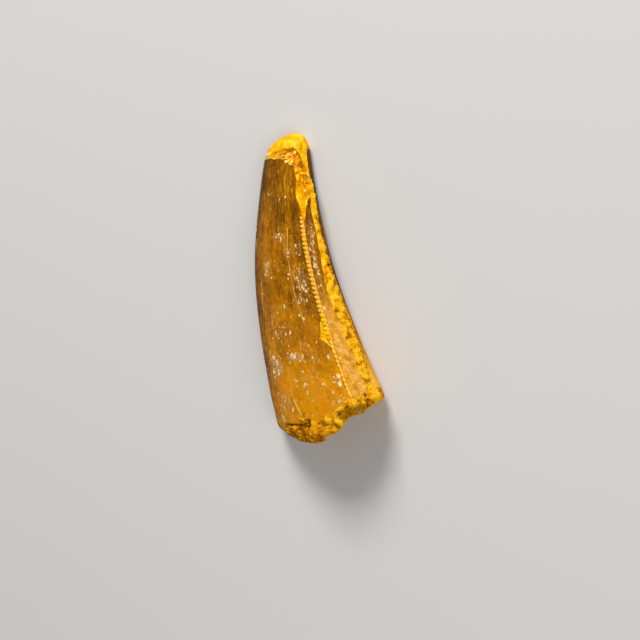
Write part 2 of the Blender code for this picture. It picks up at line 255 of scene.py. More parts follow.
# Pale flecks of lime, and painted glints.
LIME_FLECKS_AND_GLINTS = ((0.30, (0.90, 0.50, 0.14)), (0.50, (1.0, 0.71, 0.32)), (0.68, (1.0, 0.87, 0.60)))
RUST_CRACKS = ((0.35, (0.09, 0.018, 0.001)), (0.65, (0.30, 0.075, 0.002)))
BROWN_GAPS = ((0.35, (0.28, 0.07, 0.001)), (0.65, (0.50, 0.16, 0.002)))
# Painted shade in the creases of the broken tip and along its ledge.
RUSSET_CREASE_SHADE = ((0.35, (0.55, 0.13, 0.001)), (0.65, (0.95, 0.32, 0.002)))
SAND = (
    (0.30, (0.50, 0.21, 0.004)),
    (0.45, (0.92, 0.44, 0.008)),
    (0.60, (1.0, 0.62, 0.03)),
    (0.72, (1.0, 0.76, 0.22)),
)
PALE_PAPER = (0.68, 0.67, 0.66, 1)  # not a ramp but one colour
# How strongly, and in which tint, a surface mirrors light.
FOSSIL_GLOSS = (0.07, (1.0, 0.72, 0.15, 1))
SAND_GLOSS = (0.08, (1.0, 0.74, 0.36, 1))

# ---------------------------------------------------------------- camera and light, in metres
VIEW_TILT = math.radians(30)
VIEW_DISTANCE = 0.2055
VIEW_TARGET = Vector((0.36, -4.68, 2.24)) * MM
LENS = 85.0
FLOOR_HALF_SIZE = 1.5
LAMPS = (  # (name, place, side, power, colour)
    ("key", (-0.02, 0.50, 0.36), 0.22, 3.6, (1.0, 0.98, 0.95)),
    ("fill", (0.45, -0.20, 0.40), 0.45, 1.5, (1.0, 1.0, 1.0)),
)
SKY_STRENGTH = 0.22


# ================================================================ shape of the crown
def curve_point(curve, t):
    """A point of a cubic curve at t, from 0 to 1."""
    weights = ((1 - t) ** 3, 3 * t * (1 - t) ** 2, 3 * t * t * (1 - t), t**3)
    return np.array([sum(w * p[axis] for w, p in zip(weights, curve)) for axis in (0, 1)])


def section_places():
    """The places of the mesh columns, closer together beside the back ridge."""
    places = []
    for index, count in enumerate(COLUMNS):
        for step in range(count):
            t = step / count
            if index == 0:
                t = t**COLUMN_CROWDING
            if index == 3:
                t = 1 - (1 - t) ** COLUMN_CROWDING
            places.append(index + t)
    return np.array(places)


class Section:
    """The mesh columns round the section: places, points, outward directions and arcs from the two edges."""

    def __init__(self):
        self.place = section_places()
        self.point = np.array([curve_point(SECTION[int(p)], p % 1) for p in self.place])
        along = np.roll(self.point, -1, axis=0) - np.roll(self.point, 1, axis=0)
        outward = np.stack((along[:, 1], -along[:, 0]), axis=1)
        self.outward = outward / np.linalg.norm(outward, axis=1)[:, None]
        step = np.linalg.norm(np.roll(self.point, -1, axis=0) - self.point, axis=1)
        self.arc = np.concatenate(((0,), np.cumsum(step)))
        self.from_back, self.from_front = self.arc_from(0), self.arc_from(1)

    def arc_from(self, place):
        """How far each column is from a place, along the section and the short way round, at size 1."""
        girth = self.arc[-1]
        start = np.interp(place % 4, np.append(self.place, 4.0), self.arc)
        return (self.arc[:-1] - start + girth / 2) % girth - girth / 2


def around(place, centre):
    """Signed distance round the section from centre to place, the short way."""
    return (place - centre + 2) % 4 - 2


def bump(distance, width):
    """1 at no distance, falling smoothly to 0 at width."""
    return np.clip(1 - (distance / width) ** 2, 0, None) ** 2


def step_up(value, start, end):
    """0 before start, 1 after end, smooth in between."""
    t = np.clip((value - start) / (end - start), 0, 1)
    return t * t * (3 - 2 * t)


def on_line(line, value):
    """The second value of a line of pairs, read at the first."""
    first, second = zip(*line)
    return np.interp(value, first, second)


def rough(drop, place, grain, seed):
    """Smooth noise from -1 to 1 over the surface, with lumps of about grain millimetres."""
    drop, place = np.broadcast_arrays(np.asarray(drop, float), np.asarray(place, float))
    angle = place * math.pi / 2
    girth = GIRTH_RADIUS / grain
    spots = np.stack((girth * np.cos(angle), girth * np.sin(angle), drop / grain + seed), axis=-1)
    values = [noise.noise(Vector(spot)) for spot in spots.reshape(-1, 3)]
    return np.array(values).reshape(drop.shape)


def pebbly(spots, grain, seed):
    """Rounded pebbles, from 0 in the gaps to 1 on top, each about grain millimetres wide."""
    flat = spots.reshape(-1, 3) / grain + seed
    values = [noise.voronoi(Vector(spot))[0][0] for spot in flat]
    return np.clip(1 - np.array(values).reshape(spots.shape[:-1]) * 1.15, 0, 1)


def chunks(spots, size, seed):
    """Broken stone: each chunk's height, from its own level and tilt, and how near the next chunk is."""
    heights, gaps = [], []
    for spot in spots.reshape(-1, 3) / size + seed:
        distances, middles = noise.voronoi(Vector(spot))
        middle = middles[0]
        own = math.sin(middle.x * 12.9 + middle.y * 78.2 + middle.z * 37.7) * 43758.5
        tilt = Vector((math.sin(own), math.cos(2 * own), math.sin(3 * own)))
        heights.append(math.sin(own) + 1.2 * (Vector(spot) - middle).dot(tilt))
        gaps.append(distances[1] - distances[0])
    shape = spots.shape[:-1]
    return np.array(heights).reshape(shape), np.array(gaps).reshape(shape)


def break_drop(place):
    """Drop of the broken base's rim, with a ragged edge."""
    return on_line(BREAK_LINE, place) + 0.35 * rough(0, place, 1.3, 7)


def size_at(drop):
    """How large the section is: its points are at size 1."""
    return TIP_SIZE + SIZE_GROWTH * drop + SWELL * np.sin(math.pi * drop / LENGTH)


def placed(drop, flat):
    """Points of the section at their drops, in the tooth's resting frame: millimetres, floor at Z 0."""
    across = (drop - BEND_START) ** 2 / (2 * BEND_RADIUS)
    span = np.clip((drop - ARCH_FROM) / (ARCH_TO - ARCH_FROM), 0, 1)
    lift = UNDERSIDE_ARCH * np.sin(math.pi * span) ** 2
    return np.stack((across + flat[..., 0], LENGTH - drop, lift + flat[..., 1]), axis=-1)


def raised(flat, drop, height, outward):
    """Points of the section moved outwards by their heights, or towards the tip's heart by negative ones."""
    heart = np.array(TIP_HEART) * size_at(drop)[..., None]
    away = flat - heart
    away = away / np.linalg.norm(away, axis=-1, keepdims=True)
    height = height[..., None]
    return flat + np.maximum(height, 0) * outward + np.minimum(height, 0) * away


class Surface:
    """Every vertex of the crown between its two poles: one row a ring, one column a mesh column."""

    def __init__(self):
        self.section = Section()
        place = self.section.place
        rings = TIP_RINGS - 1 + CROWN_RINGS + 1 + BASE_RINGS - 1
        shape = (rings, len(place))
        self.place = np.broadcast_to(place, shape)
        self.drop = np.zeros(shape)
        self.inward = np.zeros(shape)  # 0 on the crown, up to 1 at the middle of the broken end
        self.tip_share = np.ones(shape)  # below 1 on the tip's rounding
        self.rim = np.broadcast_to(break_drop(place), shape)
        self.lay_out_rings()
        self.find_masks()
        self.points = self.shape()

    def lay_out_rings(self):
        """Gives each ring its drop: tip rounding, crown, and the rim's drop for all of the broken end."""
        place = self.section.place
        start, rim = on_line(TIP_LINE, place), self.rim[0]
        row = 0
        for ring in range(1, TIP_RINGS):
            angle = ring / TIP_RINGS * math.pi / 2
            self.drop[row] = start * (1 - math.cos(angle))
            self.tip_share[row] = math.sin(angle)
            row += 1
        for ring in range(CROWN_RINGS + 1):
            self.drop[row] = start + (rim - start) * ring / CROWN_RINGS
            row += 1
        self.first_base_row = row
        for ring in range(1, BASE_RINGS):
            self.drop[row] = rim
            self.inward[row] = (ring / BASE_RINGS) ** BASE_RING_CROWDING
            row += 1

    def find_masks(self):
        """Where enamel is gone, where stone is cemented and where the ridges run, each from 0 to 1."""
        drop, place = self.drop, self.place
        self.size = size_at(drop)
        self.side = around(place, 0)
        self.ragged = 0.5 * rough(drop, place, 0.9, 21) + 0.3 * rough(drop, place, 0.35, 23)
        self.find_chips()
        self.find_stone()
        self.find_flakes()
        self.find_cracks()
        self.find_saw()
        self.find_grain_share()

    def find_chips(self):
        """The broken tip, the spall below it, the worn patch by wide denticles, and the sunken ledge."""
        drop, side, ragged = self.drop, self.side, self.ragged
        tip = 1 - step_up(drop + 0.3 * ragged - on_line(TIP_ENAMEL_LINE, side), -0.05, 0.08)
        left = on_line(SPALL_OUTER_LINE, drop) + 0.03 * ragged - side
        right = side - on_line(SPALL_INNER_LINE, drop) + 0.05 * ragged
        spall = step_up(left, -0.008, 0.02) * step_up(right, -0.02, 0.03)
        spall = spall * (1 - step_up(drop + 0.5 * ragged, 12.2, 12.8))
        first, last, reach = WIDE_DENTICLES
        widening = np.clip((drop - first) / (last - first), 0, 1) ** 0.75 * reach
        chip = step_up(widening + 0.012 * ragged - side, -0.004, 0.008) * step_up(side, -0.03, 0.0)
        below = drop - last + 10 * side + 0.3 * ragged
        chip = chip * step_up(drop, first, first + 0.8) * (1 - step_up(below, -0.05, 0.08))
        self.tip_chip, self.spall, self.chip = tip, spall, chip
        self.bare = np.maximum(np.maximum(tip, spall), chip)
        recess = drop + 0.25 * ragged - on_line(LEDGE_LINE, side)
        in_reach = step_up(side, -0.75, -0.6) * (1 - step_up(side, 0.6, 0.72))
        self.recess = step_up(recess, -0.06, 0.14) * in_reach * self.bare
        # A band along the ledge, which gets painted shade.
        self.ledge = bump(recess - 0.05, 0.35) * in_reach * self.bare

    def find_stone(self):
        """The band round the broken base, the ribbon beside the back ridge, and single lumps and crumbs."""
        drop, place, ragged = self.drop, self.place, self.ragged
        self.edge_gap = drop - (on_line(STONE_EDGE_LINE, place) + 0.30 * ragged)
        self.band = step_up(self.edge_gap, -0.06, 0.1)
        drops, middles, half_widths, shares = zip(*CRUST_COURSE)
        half_width = np.interp(drop, drops, half_widths)
        middle = np.interp(drop, drops, middles)
        self.ribbon_gap = (around(place, middle) + 0.06 * ragged) / half_width
        along = step_up(drop + 0.5 * ragged, CRUST_FROM - 1.2, CRUST_FROM + 0.8)
        self.ribbon = bump(self.ribbon_gap, 1.15) * along * np.interp(drop, drops, shares)
        ribbon_area = (1 - step_up(np.abs(self.ribbon_gap), 0.75, 0.95)) * along
        self.lumps, self.knob, self.crumbs = np.zeros((3, *drop.shape))
        for lump in (*KNOBS, *LUMPS, *CRUMBS):
            swelling = bump(self.gap_from(lump), lump[2])
            self.lumps = self.lumps + lump[3] * swelling
            if lump in KNOBS:
                self.knob = np.maximum(self.knob, swelling)
            if lump in CRUMBS:
                self.crumbs = np.maximum(self.crumbs, swelling)
        edge = bump(self.side + 0.73 + 0.02 * ragged, 0.035)
        edge = edge * step_up(drop, 1.2, 2.2) * (1 - step_up(drop, 5.2, 6.0))
        self.crumbs = np.maximum(self.crumbs, 0.4 * edge)
        self.stone = np.clip(np.maximum(self.band, np.maximum(ribbon_area, self.knob * 2)), 0, 1)

    def find_flakes(self):
        """The tan strip beside the ribbon and the largest flecks of lime."""
        inner = -self.side
        self.tan = step_up(inner, 0.02, 0.10) * (1 - step_up(inner, 0.75, 0.95)) * step_up(self.drop, 19, 29)
        self.flakes = np.zeros_like(self.drop)
        ragged_edge = 0.5 * rough(self.drop, self.place, 0.35, 77)
        for flake in FLAKES:
            gap = self.gap_from(flake) / flake[2] + ragged_edge
            self.flakes = np.maximum(self.flakes, 1 - step_up(gap, 0.4, 1.1))

    def find_grain_share(self):
        """How thickly sand grains sit: on stone, on the broken end and on crumbly dentine."""
        grainy = 0.5 * self.chip + 0.9 * self.recess * (1 - step_up(self.drop, 5, 8))
        end = (self.inward > 0) * 0.8
        smoother = 1 - 0.85 * self.band * step_up(self.side, 0.15, 0.3)
        under = step_up(self.drop - self.rim + 1.2, 0, 0.4) * (1 - end)
        share = np.maximum(np.maximum(self.stone, end), grainy)
        self.grain_share = share * smoother * (1 - 0.75 * under)

    def gap_from(self, spot):
        """Distance in millimetres over the surface from a spot, (drop, place, ...)."""
        return np.hypot(self.drop - spot[0], self.section.arc_from(spot[1]) * self.size)

    def beside_lines(self, lines):
        """Signed distance in millimetres, round the section, from the line at this drop.

        It is far where there is no line.
        """
        columns, arcs = np.append(self.section.place, 4.0), self.section.arc
        here, wander = np.interp(self.place, columns, arcs), 0.006 * rough(self.drop, 0, 1.5, 82)
        nearest = np.full_like(self.drop, 4.0)
        for line in lines:
            drops, places = zip(*line)
            course = np.interp(self.drop, drops, places) + wander
            beside = np.clip((here - np.interp(course, columns, arcs)) * self.size, -2, 2)
            shown = step_up(self.drop, drops[0] - 0.5, drops[0])
            shown = shown * (1 - step_up(self.drop, drops[-1], drops[-1] + 0.5))
            nearest = np.where(shown > 0, beside + 4 * (1 - shown), nearest)
        return nearest

    def find_cracks(self):
        """The crack, the dark pits and seam, and a patch of pale lime near the broken base."""
        drop, place = self.drop, self.place
        first, last, crack_place, slant = BASE_CRACK
        wander = 0.006 * rough(drop, 0, 0.8, 71) + slant * (drop - 0.5 * (first + last))
        beside = (self.section.arc_from(crack_place) + wander) * self.size
        along = step_up(drop, first, first + 0.3) * (1 - step_up(drop, last - 0.2, last + 0.1))
        self.crack_lip = bump(beside, 0.42) * along
        crack = 0.4 * bump(beside + 0.36, 0.22) * along
        ragged_edge = 0.35 * rough(drop, place, 0.4, 72)
        for pit in PITS:
            gap = self.gap_from(pit) + ragged_edge
            crack = np.maximum(crack, pit[3] * (1 - step_up(gap, 0.3 * pit[2], pit[2])))
        seam_gap = self.edge_gap - 0.10 + 0.25 * rough(drop, place, 0.8, 76)
        seam = bump(seam_gap, 0.20 + 0.1 * rough(0, place, 0.8, 73))
        left = step_up(place, 0.53, 0.57) * (1 - step_up(place, 0.70, 0.76))
        self.crack = np.clip(np.maximum(crack, seam * (0.12 + left)), 0, 1)
        patch_drop, patch_place, length, width = LIME_PATCH
        aside = self.section.arc_from(patch_place) * self.size
        gap = np.hypot((drop - patch_drop) / length, aside / width)
        self.lime = 1 - step_up(gap + 0.4 * rough(drop, place, 0.6, 74), 0.7, 1.0)

    def find_saw(self):
        """Where the denticles are: each is a short bar across the edge, longer on the outer side."""
        drop, from_back = self.drop, self.section.from_back * self.size
        width = on_line(SAW_HALF_WIDTH, drop)
        reach = np.where(from_back > 0, width, 0.75 * width)
        across = 1 - step_up(np.abs(from_back) / reach, 0.45, 1.0)
        fading = step_up(drop, *SAW_FADES)
        worn = 0.85 + 0.5 * rough(drop, self.place, 1.5, 61) - 0.55 * fading
        has_saw = step_up(drop, SAW_FROM - 1.2, SAW_FROM + 0.6) * (1 - 0.75 * self.band)
        slant = drop + SAW_SLANT * from_back
        wave = 0.5 + 0.5 * np.cos(2 * math.pi * slant / DENTICLE_PITCH)
        self.lobes = np.clip(1.25 * wave**0.7, 0, 1)
        self.back_saw = across * has_saw
        beyond = bump(from_back - 0.8 * width, 0.5)
        self.sulci = (beyond * has_saw * (1 - self.chip) + 0.14 * self.chip) * (1 - self.lobes)
        inner_half = 1 - step_up(from_back, -0.12, 0.10)
        toothed = np.maximum(1 - np.clip(worn, 0, 1) * (1 - self.lobes), inner_half)
        self.ridge_and_painted_light = np.clip(self.back_saw * toothed * 1.2, 0, 1) * (1 - 0.25 * fading)
        # Painted light: the inner side's lower band, which the key light only grazes, is brightened with the
        # ridge's colour.
        painted_light = 0.75 * bump(around(self.place, 3.12), 0.42) * step_up(drop, 28, 34) * (1 - self.band)
        self.ridge_and_painted_light = np.maximum(self.ridge_and_painted_light, np.maximum(0.75 * self.chip, painted_light))
        self.crumbs = np.maximum(self.crumbs, 0.35 * self.chip * step_up(drop, 27.6, 28.6))
        self.saw_worn = worn
        from_front = np.abs(self.section.from_front) * self.size
        self.front_saw = bump(from_front, 0.4) * (1 - self.bare) * (1 - self.band)
        fine = 0.5 + 0.5 * np.cos(2 * math.pi * drop / DENTICLE_PITCH * FRONT_CROWDING)
        self.fine_lobes = fine**0.6

    def saw_height(self):
        """The keels of the two cutting edges, notched into chisel-like denticles with narrow gaps."""
        back = self.back_saw * (SAW_RELIEF + NOTCH_RELIEF * self.lobes * self.saw_worn)
        front = self.front_saw * FRONT_SHARE * (RIDGE_HEIGHT + DENTICLE_HEIGHT * self.fine_lobes)
        return back + front - SULCUS_DEPTH * self.sulci

    def chip_height(self, spots):
        """The broken tip, the spall and the small chip, sunk below the enamel and crumbly."""
        drop, place = self.drop, self.place
        crumbs = 0.10 * rough(drop, place, 0.55, 31) + 0.05 * rough(drop, place, 0.25, 32)
        smooth = -ENAMEL_THICKNESS * 0.9 + 0.10 * rough(drop, place, 1.4, 5) + 0.25 * crumbs
        smooth = smooth * (1 - 0.85 * step_up(-self.side, 0.5, 0.85))
        deep = -0.34 * self.recess * (1 - step_up(drop, 4.5, 7.5))
        broken, gap = chunks(spots, TIP_CHUNK, 27)
        self.tip_gap = (1 - step_up(gap, 0.0, 0.25)) * self.recess * (1 - step_up(drop, 7, 10))
        crumbly = self.recess * (1 - step_up(drop, 6, 9)) * (crumbs + 0.18 * broken + 0.06)
        crumbly = crumbly - 0.06 * self.tip_gap
        small = (-0.12 + 0.3 * crumbs) * self.chip * (1 - self.spall) * (1 - self.tip_chip)
        return (smooth + deep + crumbly) * np.maximum(self.tip_chip, self.spall) + small

    def stone_height(self, spots):
        """Cemented sandstone: lumps, packed grains and pits, with a groove where it meets the enamel."""
        drop, place = self.drop, self.place
        coarse, fine, nubs = pebbly(spots, 1.0, 3), pebbly(spots, 0.45, 9), pebbly(spots, 0.75, 19)
        grains = 0.42 * coarse + 0.10 * fine - 0.22
        nubbly = 0.46 * nubs + 0.12 * fine - 0.23
        ribbon = self.ribbon * (CRUST_HEIGHT * (0.75 + 0.9 * rough(drop, place, 1.3, 11)) + nubbly)
        slanting = spots @ PLUG_GRAIN
        self.chunk, gap = chunks(slanting, PLUG_CHUNK, 17)
        plug = step_up(self.side, 0.20, 0.32)
        self.gap = (1 - step_up(gap, 0.02, 0.16)) * (0.15 + 0.85 * plug) * self.band * (1 - self.knob)
        broken = (0.26 * self.chunk - 0.16 * self.gap) * (0.25 + 0.75 * plug)
        lumps = 0.8 * STONE_LUMP * rough(drop, place, 1.5, 2) * (0.4 + 0.6 * plug) + broken
        band = lumps - 0.2 * ENAMEL_THICKNESS + (0.6 - 0.35 * plug) * grains
        band = band * self.band * (1 - 0.8 * self.knob)
        # The pits and the heights of chunks and nubs also colour the stone: painted shade in the pits,
        # painted light on the tops.
        band_pits, ribbon_pits = 0.8 - 0.8 * step_up(coarse, 0.1, 0.45), 0.9 - 0.9 * step_up(nubs, 0.05, 0.3)
        self.pit = np.where(self.band > 0.5, band_pits, ribbon_pits)
        self.chunk = np.where(self.band > 0.5, self.chunk, 3 * nubs - 1.5)
        groove = 0.14 * self.crack_lip + 0.12 * self.lime - GROOVE_ALONG_STONE * self.crack
        return ribbon + band + self.lumps * (1 + 0.4 * grains) + groove

    def enamel_height(self):
        """Long shallow waves and fine streaks down the tooth."""
        drop, place = self.drop, self.place
        streaks = rough(drop * 0.06, place, 0.16, 41) * 0.014 + rough(drop * 0.12, place, 0.45, 42) * 0.02
        height = 0.06 * rough(drop / 6, place, 2.2, 3) + streaks * (1 - self.bare)
        return height + 0.10 * rough(drop, place, 2.6, 43) * step_up(drop, 26, 36)

    def rim_wear(self):
        """How far the broken rim is worn away: rounded, but straighter on the right."""
        length = on_line(BEVEL_LENGTH, self.place) * (1 + 0.3 * rough(0, self.place, 1.0, 75))
        self.bevel = np.clip((self.drop - self.rim + length) / length, 0, 1)
        rounding = 1 - np.sqrt(1 - 0.98 * self.bevel**2)
        right = 1 - step_up(self.side, 0.22, 0.34)
        return on_line(BEVEL_DEPTH, self.place) * (rounding + right * (self.bevel**1.4 - rounding))

    def shape(self):
        """Where every vertex goes."""
        drop, section, heart = self.drop, self.section, np.array(TIP_HEART)
        flat = (heart + self.tip_share[..., None] * (section.point - heart)) * self.size[..., None]
        spots = placed(drop, flat)
        height = self.enamel_height()
        height = height + self.chip_height(spots) + self.stone_height(spots) + self.saw_height()
        height = (height - self.rim_wear()) * self.tip_share
        points = placed(drop, raised(flat, drop, height, section.outward))
        row = self.first_base_row
        points[row:] = self.broken_end(height[row - 1])
        points[..., 2] = np.maximum(points[..., 2], 0)
        return points

    def broken_end(self, rim_height):
        """The rings of the broken end: a wall of dentine round the hollow that stone fills."""
        row = self.first_base_row
        inward, place, rim = self.inward[row:], self.place[row:], self.rim[row:]
        point, heart = self.section.point, np.array(BASE_HEART)
        flat = (heart + (1 - inward)[..., None] * (point - heart)) * size_at(rim)[..., None]
        height = (1 - step_up(inward, 0.0, 0.5)) * rim_height
        level = on_line(BREAK_LINE, 2.0) + 1
        cone = rim + (level - rim) * inward
        blocks, between = chunks(placed(cone, flat), END_CHUNK, 9)
        uneven = (0.40 * blocks - 0.15 * (1 - step_up(between, 0.02, 0.16))) * step_up(inward, 0.06, 0.3)
        hollow = BASE_HOLLOW * step_up(inward, 0.25, 0.6)
        seam = 0.35 * bump(inward - 0.42 - 0.05 * rough(0, place, 0.8, 15), 0.05)
        drop = cone - hollow + uneven - seam
        rounded = 0.30 * (1 - (1 - np.clip(inward / 0.08, 0, 1)) ** 2)
        spots = placed(drop, flat)
        crumbs = 0.30 * pebbly(spots, 0.7, 5) + 0.14 * pebbly(spots, 0.35, 6) - 0.2
        drop = drop + rounded + crumbs * step_up(inward, 0.02, 0.1)
        self.drop[row:] = drop
        return placed(drop, raised(flat, rim, height, self.section.outward))


def piece_of(name, mesh):
    """A new object with this mesh, at the origin."""
    piece = bpy.data.objects.new(name, mesh)
    bpy.context.scene.collection.objects.link(piece)
    return piece


def attribute_on(mesh, name, kind, values):
    """Stores one value, or one vector, on every vertex."""
    made = mesh.attributes.new(name, kind, "POINT")
    key = "vector" if kind == "FLOAT_VECTOR" else "value"
    made.data.foreach_set(key, np.ascontiguousarray(values, np.float32).ravel())


def tube(name, rings, columns):
    """A closed tube of rings with a point at each end, and each vertex's ring and column.

    The points at the ends count as ring -1 and as one past the last.
    """
    shape = bmesh.new()
    bmesh.ops.create_cone(
        shape, segments=columns, cap_ends=True, cap_tris=True, radius1=1, radius2=1, depth=1
    )
    upright = [edge for edge in shape.edges if abs(edge.verts[0].co.z - edge.verts[1].co.z) > 0.5]
    bmesh.ops.subdivide_edges(shape, edges=upright, cuts=rings - 2)
    bmesh.ops.reverse_faces(shape, faces=shape.faces)
    mesh = bpy.data.meshes.new(name)
    shape.to_mesh(mesh)
    shape.free()
    round_tube = np.zeros(len(mesh.vertices) * 3, np.float32)
    mesh.vertices.foreach_get("co", round_tube)
    x, y, z = round_tube.reshape(-1, 3).T
    ring = np.rint((0.5 - z) * (rings - 1)).astype(int)
    ring = np.where(np.hypot(x, y) > 0.5, ring, np.where(z > 0, -1, rings))
    column = np.rint(np.arctan2(y, x) / math.tau * columns).astype(int) % columns
    return mesh, ring, column


def crown():
    """The tooth itself, with the masks that its material reads."""
    surface = Surface()
    rings, columns = surface.place.shape
    mesh, ring, column = tube("fossil_tooth", rings, columns)
    first = placed(np.zeros(1), np.array([TIP_HEART]) * TIP_SIZE)
    last = surface.points[-1].mean(axis=0)
    ends = [np.broadcast_to(end, (1, columns, 3)) for end in (first, last)]
    every = np.concatenate((ends[0], surface.points, ends[1]))
    places = every[ring + 1, column] - centre_of(surface)
    mesh.vertices.foreach_set("co", (places * MM).astype(np.float32).ravel())
    store_masks(mesh, surface, np.clip(ring, 0, rings - 1), column)
    mesh.shade_smooth()
    mesh.update()
    return piece_of("fossil_tooth", mesh), surface


def centre_of(surface):
    """The shift that puts the middle of the crown over the middle of its solid."""
    low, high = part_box("tooth")
    ends = surface.points[..., :2].reshape(-1, 2)
    middle = 0.5 * (ends.min(axis=0) + ends.max(axis=0))
    solid_middle = 0.5 * np.array(low + high)[:2] / MM
    return np.append(middle - solid_middle, 0)


def course_of(surface):
    """Places wound on a round bar, along which the enamel's streaks run."""
    angle = surface.place * math.pi / 2
    across, up = GIRTH_RADIUS * np.cos(angle), GIRTH_RADIUS * np.sin(angle)
    return np.stack((across, up, surface.drop), axis=-1)


def painted_rim_shade_of(surface):
    """Painted shade: the worn rim's lower part, darkened as if in shadow."""
    side, bevel = surface.side, surface.bevel
    under = step_up(bevel, 0.05, 0.35) * (1 - step_up(side, 0.20, 0.30)) * step_up(side, -0.72, -0.60)
    under = np.maximum(under, 0.5 * step_up(bevel, 0.5, 1.0) * step_up(side, 0.3, 0.4))
    return under * (1 - step_up(surface.knob, 0.02, 0.20))


def amber_of(surface):
    """Where stone and dentine are amber, not yellow."""
    drop = surface.drop
    ribbon_edge = step_up(-surface.ribbon_gap, 0.0, 0.5)
    ribbon_edge = ribbon_edge * step_up(drop, 12, 16) * (1 - step_up(drop, 31, 34))
    band = np.maximum(0.6, step_up(surface.side, 0.20, 0.34)) * (1 - surface.knob)
    amber = np.where(surface.band > 0.5, band, 0.75 * ribbon_edge)
    return np.maximum(amber, 0.6 * surface.spall * step_up(drop, 5, 7))


def store_masks(mesh, surface, row, column):
    """Puts what the material reads on the mesh."""
    end = step_up(surface.inward, 0.0, 0.03)
    filled = step_up(surface.inward, 0.38, 0.46)
    edges = np.maximum(0.7 * surface.front_saw, 0.8 * surface.crack_lip)
    masks = {
        "bare": np.maximum(surface.bare, end * (1 - filled)),
        "stone": np.maximum(surface.stone * (1 - end), filled),
        # worn ridges and edges, and painted light on the inner side's lower band
        "ridge": np.maximum(surface.ridge_and_painted_light, edges),
        # painted shade in the stone's pits; the next, chunk heights, paint light on its lump tops
        "pit": surface.pit,
        "chunk": surface.chunk,
        "amber": amber_of(surface),
        "matt": np.maximum(bump(around(surface.place, 1.0), 0.4), bump(around(surface.place, 2.9), 0.4)),
        "gap": 0.7 * surface.gap * (1 - end),
        # painted shade in the creases between the tip's chunks and along the ledge
        "crease_shade": np.maximum(0.75 * surface.tip_gap, 0.66 * surface.ledge),
        "crumb": surface.crumbs,
        "knob": surface.knob,
        "tan": surface.tan,
        "crack": surface.crack * (1 - end),
        "lime": surface.lime * (1 - end),
        # painted shade under the worn rim, and a little on the broken end
        "underside": np.maximum(painted_rim_shade_of(surface), 0.25 * end),
        "shade": shade_of(surface),
        # pale flecks of lime, and painted glints
        "flecks": fleck_and_glint_density(surface),
        "flake": surface.flakes,
    }
    # golden lines, the second group a painted gleam along the front edge
    for number, lines in enumerate(GOLD_THREADS_AND_GLEAM):
        masks[f"thread_{number}"] = surface.beside_lines(lines)
    attribute_on(mesh, "course", "FLOAT_VECTOR", course_of(surface)[row, column])
    for name, values in masks.items():
        attribute_on(mesh, name, "FLOAT", values[row, column])


def shade_of(surface):
    """How dark the enamel is, from 0, golden, to 1, dark brown, with painted shade towards the front edge and
    beside the back ridge.
    """
    drop, place, side = surface.drop, surface.place, surface.side
    shade = 0.68 - 0.20 * step_up(drop, 8, 15) - 0.12 * step_up(drop, 18, 26) - 0.33 * step_up(drop, 26, 36)
    # Painted shade: darker towards the front edge, which turns away from the light.
    left_edge = step_up(side, 0.62, 0.88) * (1 - step_up(side, 1.3, 1.95))
    shade = shade + 0.46 * left_edge * (1 - 0.5 * step_up(drop, 32, 38))
    # Painted shade beside the back ridge.
    beside_saw = bump(side - 0.10, 0.14) * step_up(drop, 9, 14) * (1 - step_up(drop, 33, 37))
    shade = shade + 0.20 * beside_saw
    strip = step_up(-side, 0.0, 0.05) * (1 - step_up(-side, 1.6, 2.0))
    shade = shade + strip * (0.12 - 0.35 * step_up(drop, 19, 28))
    shade = shade - 0.45 * bump(side + 0.80, 0.40) * step_up(drop, 27, 34)
    far_edge = bump(around(place, 2.9), 0.35)
    shade = shade + 0.28 * far_edge * (1 - 0.8 * step_up(drop, 22, 34))
    shade = shade - 0.35 * far_edge * step_up(drop, 30, 34)
    shade = shade + 0.20 * rough(drop * 0.18, place, 0.8, 51) + 0.15 * rough(drop * 0.5, place, 2.5, 52)
    return np.clip(shade, 0, 1)


def fleck_and_glint_density(surface):
    """How thickly pale flecks sit on the enamel: flecks of lime and painted glints."""
    density = 0.02 + 0.02 * step_up(surface.drop, 26, 31)
    for drop, place, length, width, amount in FLECK_AND_GLINT_CLUSTERS:
        gap = np.hypot((surface.drop - drop) / length, around(surface.place, place) / width)
        density = np.maximum(density, 0.02 + 0.62 * amount * bump(gap, 1.25))
    return density * step_up(surface.drop, 4, 8) * (1 - surface.bare) * (1 - surface.band)


# ================================================================ cemented grains
def pebble():
    """A cube of 48 triangles, rounded."""
    shape = bmesh.new()
    bmesh.ops.create_cube(shape, size=1)
    bmesh.ops.subdivide_edges(shape, edges=shape.edges, cuts=1, use_grid_fill=True)
    for vertex in shape.verts:
        vertex.co.normalize()
    mesh = bpy.data.meshes.new("pebble")
    shape.to_mesh(mesh)
    shape.free()
    return mesh


def copies_of(one, count, name):
    """A mesh that repeats another one, at the same place, count times."""
    shape = bmesh.new()
    shape.from_mesh(one)
    whole = len(shape.verts) * count
    while len(shape.verts) < whole:
        bmesh.ops.duplicate(shape, geom=[*shape.verts, *shape.edges, *shape.faces])
    mesh = bpy.data.meshes.new(name)
    shape.to_mesh(mesh)
    shape.free()
    return mesh


